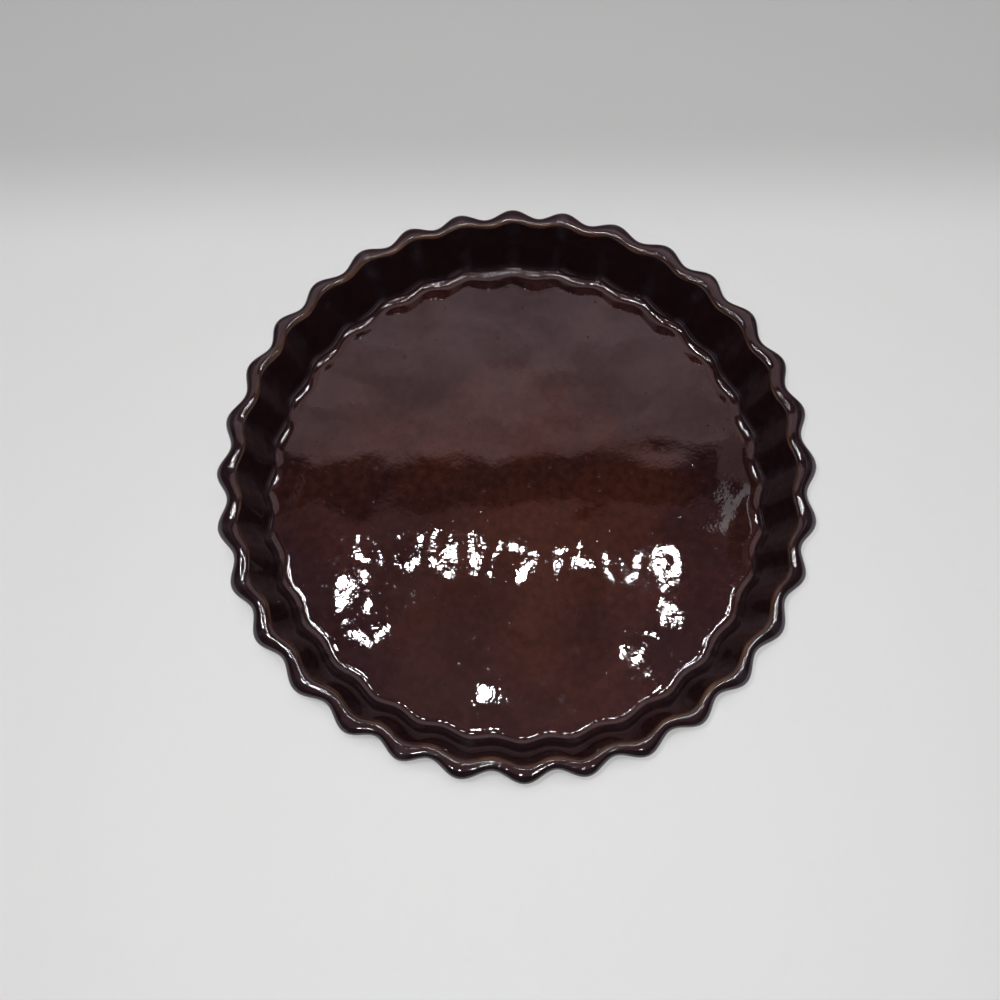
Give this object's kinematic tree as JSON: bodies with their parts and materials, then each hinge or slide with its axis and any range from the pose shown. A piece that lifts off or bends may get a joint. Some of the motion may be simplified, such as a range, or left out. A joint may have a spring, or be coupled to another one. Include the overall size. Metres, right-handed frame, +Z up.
{
  "type": "quiche dish",
  "caption": "Round shallow baking dish of glazed stoneware, with a flat floor, a flaring fluted wall, a rounded wavy rim and a low bare foot ring.",
  "frame": {"origin": "on the dish's axis, in the plane that the foot ring stands on", "axes": "+Z up along the dish's axis, out of its open side; +X and +Y each point at a crest of the fluted rim"},
  "size_m": [0.27, 0.27, 0.0395],
  "materials": {
    "stoneware": "bare fired clay, matt",
    "glaze": "high-gloss dark brown glaze"
  },
  "bodies": {
    "root": {"stoneware_body": "stoneware", "glaze_coat": "glaze", "base_glaze": "glaze"}
  },
  "joints": []
}
